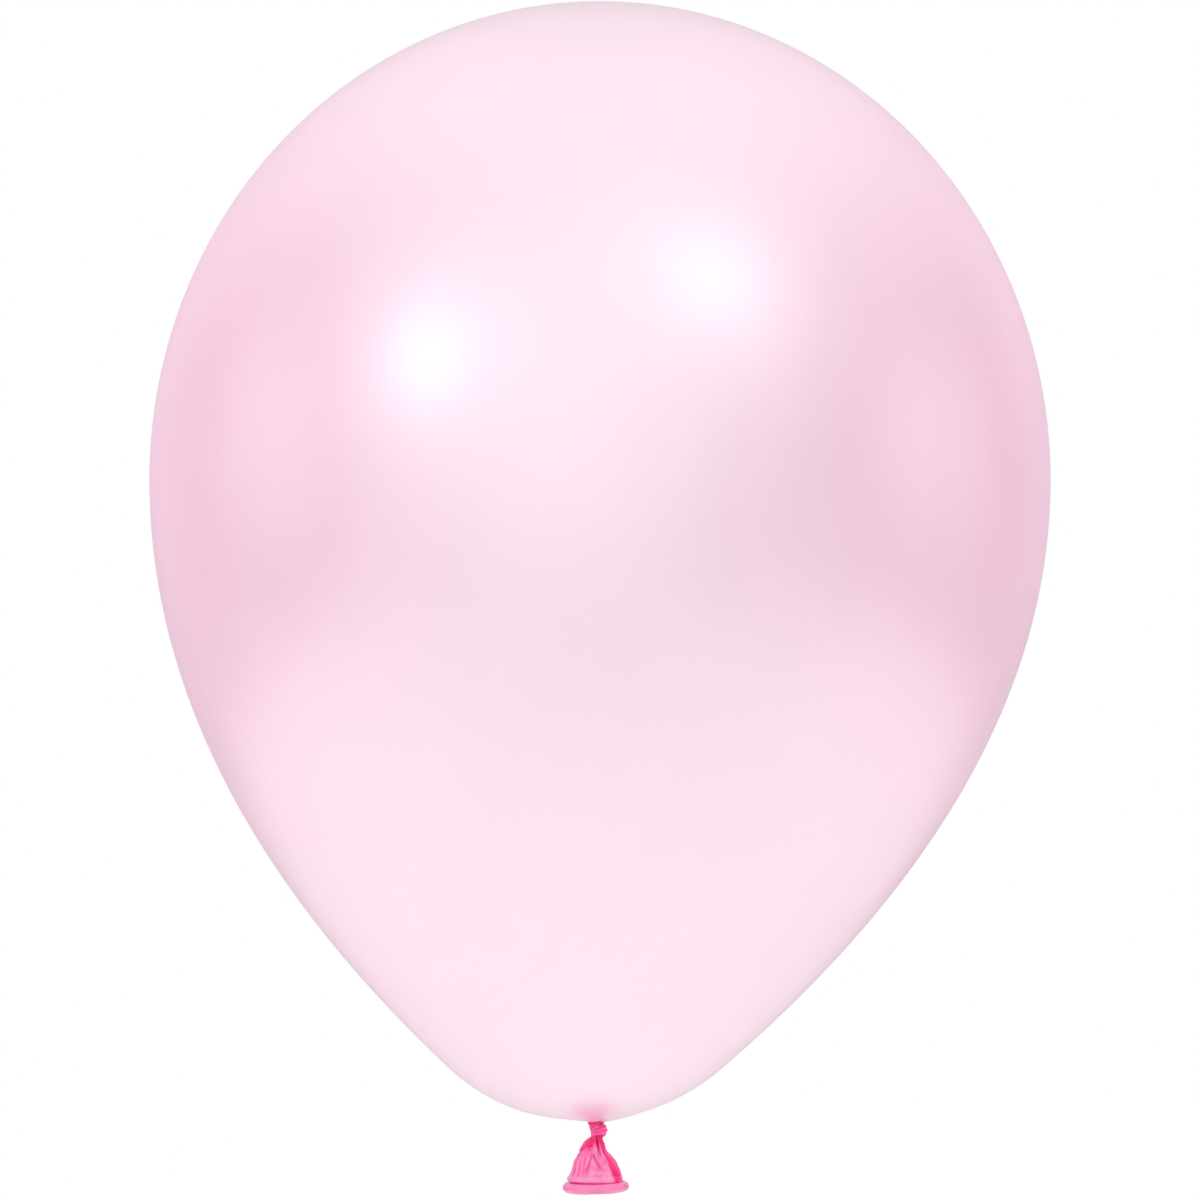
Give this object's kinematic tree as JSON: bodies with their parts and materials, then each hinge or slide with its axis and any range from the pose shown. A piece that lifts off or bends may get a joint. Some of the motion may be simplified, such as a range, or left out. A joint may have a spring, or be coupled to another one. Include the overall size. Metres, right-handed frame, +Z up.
{
  "type": "latex balloon",
  "caption": "Teardrop party balloon of thin latex, blown up and tied in its own neck, with a knot and a short flared tail that ends in a rolled lip.",
  "frame": {"origin": "the pinch on the balloon's axis, where the neck leaves the inflated skin and a ribbon is tied", "axes": "+Z up the balloon's axis to its crown; +X to the side where the knot's loop stands highest; -Y to the front"},
  "size_m": [0.305, 0.305, 0.4033],
  "materials": {
    "inflated_latex": "satin",
    "gathered_latex": "satin",
    "slack_latex": "satin"
  },
  "bodies": {
    "skin": {"envelope": "inflated_latex", "neck_stem": "gathered_latex"},
    "knot": {"knot_core": "gathered_latex", "knot_loop": "gathered_latex"},
    "tail": {"tail_gather": "gathered_latex", "tail_skirt": "slack_latex", "rolled_lip": "slack_latex"}
  },
  "joints": [
    {"name": "knot_nod", "type": "hinge", "parent": "skin", "child": "knot", "pos_m": [0, 0, 0], "axis": [1, 0, 0], "range_deg": [-25, 25], "stiffness_Nm_per_rad": 0.00002},
    {"name": "tail_flop", "type": "hinge", "parent": "knot", "child": "tail", "pos_m": [0, 0, -0.0064], "axis": [0, 1, 0], "range_deg": [-45, 45], "stiffness_Nm_per_rad": 0.00002}
  ]
}
